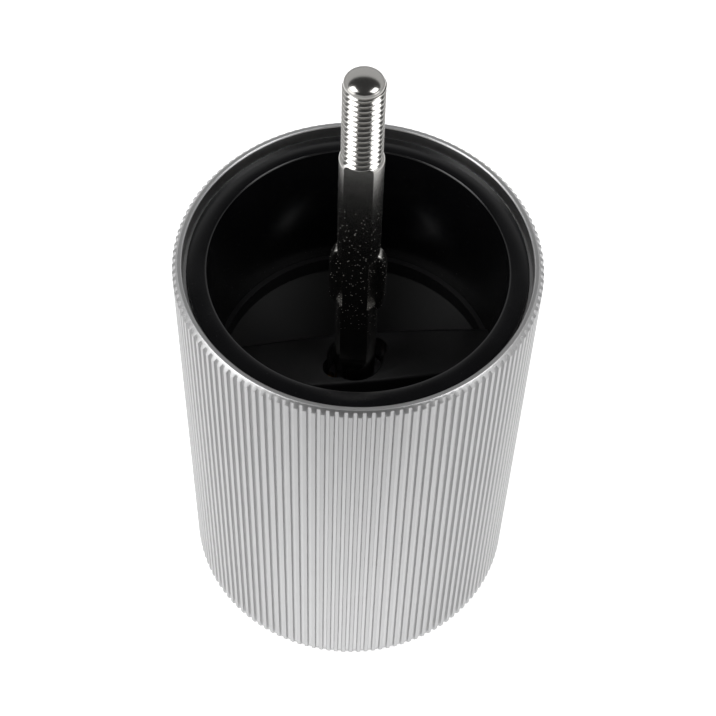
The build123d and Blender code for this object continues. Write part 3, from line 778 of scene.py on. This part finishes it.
upper_flats, upper_flats_end = 4.9, 55.2
lower_flats, lower_flats_end = 5.2, 30.0
for turn in (0, pi):
    for tool in (
        flat_tool(upper_flats, upper_flats_end, shoulder + 0.5, True, False),
        flat_tool(lower_flats, lower_step - 0.5, lower_flats_end, False, True),
    ):
        apply_tool(shaft, bench("tool", turned_about_z(tool, ear_turn + turn)), "DIFFERENCE")

ear_centre = 73.8
ear_half_thick = 1.1
pocket_outline = (
    (ear_half_thick, -4.75), (ear_half_thick + 3, -5.25), (ear_half_thick + 3, 7.6), (ear_half_thick, 5.8)
)
for turn in (0, pi):
    for side in (1, -1):
        pocket = prism(pocket_outline, 6, ((0, 1, 0), (0, 0, 1), (1.95, 0, ear_centre)))
        if side < 0:
            bmesh.ops.scale(pocket, vec=(1, -1, 1), verts=pocket.verts)
            bmesh.ops.recalc_face_normals(pocket, faces=pocket.faces)
        apply_tool(shaft, bench("tool", turned_about_z(pocket, ear_turn + turn)), "DIFFERENCE")

ear_round = (1.8, 3.9)
ear_corner_arc = [(ear_round[0] * sin(a), ear_round[1] * cos(a)) for a in (pi / 2 * s / 9 for s in range(10))]
ear_u = 8.7 / 2 - ear_round[0]
ear_v = 14.5 / 2 - ear_round[1]
ear_outline = (
    [(ear_u + u, ear_v + v) for u, v in ear_corner_arc]
    + [(ear_u + u, -ear_v - v) for u, v in reversed(ear_corner_arc)]
    + [(-ear_u - u, -ear_v - v) for u, v in ear_corner_arc]
    + [(-ear_u - u, ear_v + v) for u, v in reversed(ear_corner_arc)]
)
ear_bm = prism(ear_outline, 2 * ear_half_thick, ((1, 0, 0), (0, 0, 1), (0, ear_half_thick, ear_centre)))
soften(ear_bm, 0.5, 3, sharper_than=60)
apply_tool(shaft, bench("tool", turned_about_z(ear_bm, ear_turn)), "UNION")
print("shaft faces so far:", len(shaft.data.polygons))

# %% [markdown]
# ### The thread
#
# A thread is a spin that climbs: `spin` takes a `dvec` that lifts each step a little. The profile is exactly
# one pitch tall, so each turn joins the one below. Two `bisect_plane` cuts trim the ends flat, the open ends
# are filled, and the threaded rod is joined to the shaft.

# %% The two threads
def threaded_rod(crest, root, thread_pitch, z_low, z_high, steps=48):
    bm = bmesh.new()
    first = z_low - 1.2 * thread_pitch
    turns = int((z_high - z_low) / thread_pitch) + 4
    profile = ((root, 0), (root, 0.07), (root + 0.03, 0.095), (crest - 0.04, 0.405), (crest - 0.01, 0.43),
               (crest, 0.46), (crest, 0.54), (crest - 0.01, 0.57), (crest - 0.04, 0.595),
               (root + 0.03, 0.905), (root, 0.93), (root, 1.0))
    verts = [bm.verts.new((r * mm, 0, (first + share * thread_pitch) * mm)) for r, share in profile]
    edges = [bm.edges.new(pair) for pair in zip(verts, verts[1:])]
    lift = thread_pitch / steps * mm
    bmesh.ops.spin(
        bm, geom=verts + edges, axis=(0, 0, 1), cent=(0, 0, 0), dvec=(0, 0, lift),
        angle=tau * turns, steps=steps * turns,
    )
    bmesh.ops.remove_doubles(bm, verts=bm.verts, dist=2e-6)
    for height, direction in ((z_low, -1), (z_high, 1)):
        cut = bmesh.ops.bisect_plane(
            bm, geom=bm.verts[:] + bm.edges[:] + bm.faces[:], plane_co=(0, 0, height * mm),
            plane_no=(0, 0, direction), clear_outer=True,
        )["geom_cut"]
        rim = [part for part in cut if isinstance(part, bmesh.types.BMEdge)]
        bmesh.ops.triangle_fill(bm, edges=rim, use_beauty=True)
    bmesh.ops.recalc_face_normals(bm, faces=bm.faces)
    return bm


crank_thread = threaded_rod(thread_crest, thread_root, pitch, shoulder - 0.05, nose_foot + 0.05)
apply_tool(shaft, bench("tool", crank_thread), "UNION")
adjust_thread = threaded_rod(2.5, adjust_root, 0.8, end_groove[2], lower_step + 0.05)
apply_tool(shaft, bench("tool", adjust_thread), "UNION")
shade(shaft, shaft_steel, "shaft", "stainless_shaft", "drive_shaft", 32)

# %% [markdown]
# ### The burr's spring
#
# A spring is a round wire swept along a helix: again a spin that climbs. Its top stays under the spring seat
# while its foot goes up and down with the inner burr.

# %% The burr's spring
spring_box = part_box("burr_spring")
wire_radius = 0.45
coil_radius = spring_box[1].x / mm - wire_radius
coil_turns = 4.0
coil_low = spring_box[0].z / mm + wire_radius
coil_high = spring_box[1].z / mm - wire_radius
coil_steps = 28


def coil_spring():
    bm = bmesh.new()
    tilt = Matrix.Rotation(radians(90), 4, "X")
    spot = Matrix.Translation(Vector((coil_radius, 0, coil_low)) * mm)
    ring = bmesh.ops.create_circle(bm, segments=12, radius=wire_radius * mm, matrix=spot @ tilt)["verts"]
    edges = list({edge for vert in ring for edge in vert.link_edges})
    steps = int(coil_turns * coil_steps)
    lift = (coil_high - coil_low) / steps * mm
    bmesh.ops.spin(
        bm, geom=ring + edges, axis=(0, 0, 1), cent=(0, 0, 0), dvec=(0, 0, lift),
        angle=tau * coil_turns, steps=steps,
    )
    bmesh.ops.holes_fill(bm, edges=[edge for edge in bm.edges if edge.is_boundary], sides=0)
    bmesh.ops.recalc_face_normals(bm, faces=bm.faces)
    return bm


spring = bench("lift_spring", coil_spring())
spring.data.materials.append(bright_steel.material)
for face in spring.data.polygons:
    face.use_smooth = True
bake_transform(spring)
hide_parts("burr_spring")
print("spring faces:", len(spring.data.polygons))

# %% [markdown]
# ## Finishes for the pieces that keep their engineering shape
#
# The rest of the pieces already have the right shape. Each gets the finish of its real counterpart.

# %% Finishes by piece
finish_of = {
    "bridge_screws": zinc,
    "shaft_bushing": bronze,
    "burr_housing": housing_black,
    "housing_o_rings": rubber,
    "housing_circlip": spring_steel,
    "outer_burr": burr_steel,
    "burr_keys": spring_steel,
    "burr_retainer": plate_steel,
    "retainer_screws": zinc,
    "thrust_washers": bronze,
    "shaft_clips": spring_steel,
    "spring_seat": plate_steel,
    "end_clip": spring_steel,
    "inner_burr": burr_steel,
    "burr_hub": brass,
    "click_plate": plate_steel,
    "adjuster_dial": dial_black,
    "adjuster_nut": brass,
    "detent_balls": bright_steel,
    "detent_springs": bright_steel,
}
for node, finish in finish_of.items():
    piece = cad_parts[node]
    piece.data.materials.clear()
    piece.data.materials.append(finish.material)
print("carried over:", len(finish_of))

# %% [markdown]
# ## The table
#
# A plain pale floor, level with the foot of the tube. It is stage, not part of the object. It is a light table:
# it glows a little under and behind the grinder, which keeps the shadows faint, and the glow ends a hand's
# width in front of it. The tube's front mirrors the table, so it gets darker towards the rim.

# %% The table
table_finish = Finish("table_white", (0.93, 0.93, 0.93), 0.0, 0.6)
from_front = table_finish.part("Y").between(-120.0, -36.0)
to_back = 1 - table_finish.part("Y").between(200.0, 500.0)
to_left = table_finish.part("X").between(-330.0, -110.0)
to_right = 1 - table_finish.part("X").between(110.0, 330.0)
table_finish.feed("Emission Color", from_front * to_back * to_left * to_right)
table_finish.shader.inputs["Emission Strength"].default_value = 0.74
table_bm = bmesh.new()
bmesh.ops.create_grid(table_bm, x_segments=1, y_segments=1, size=3.0)
table = bench("table", table_bm)
table.data.materials.append(table_finish.material)
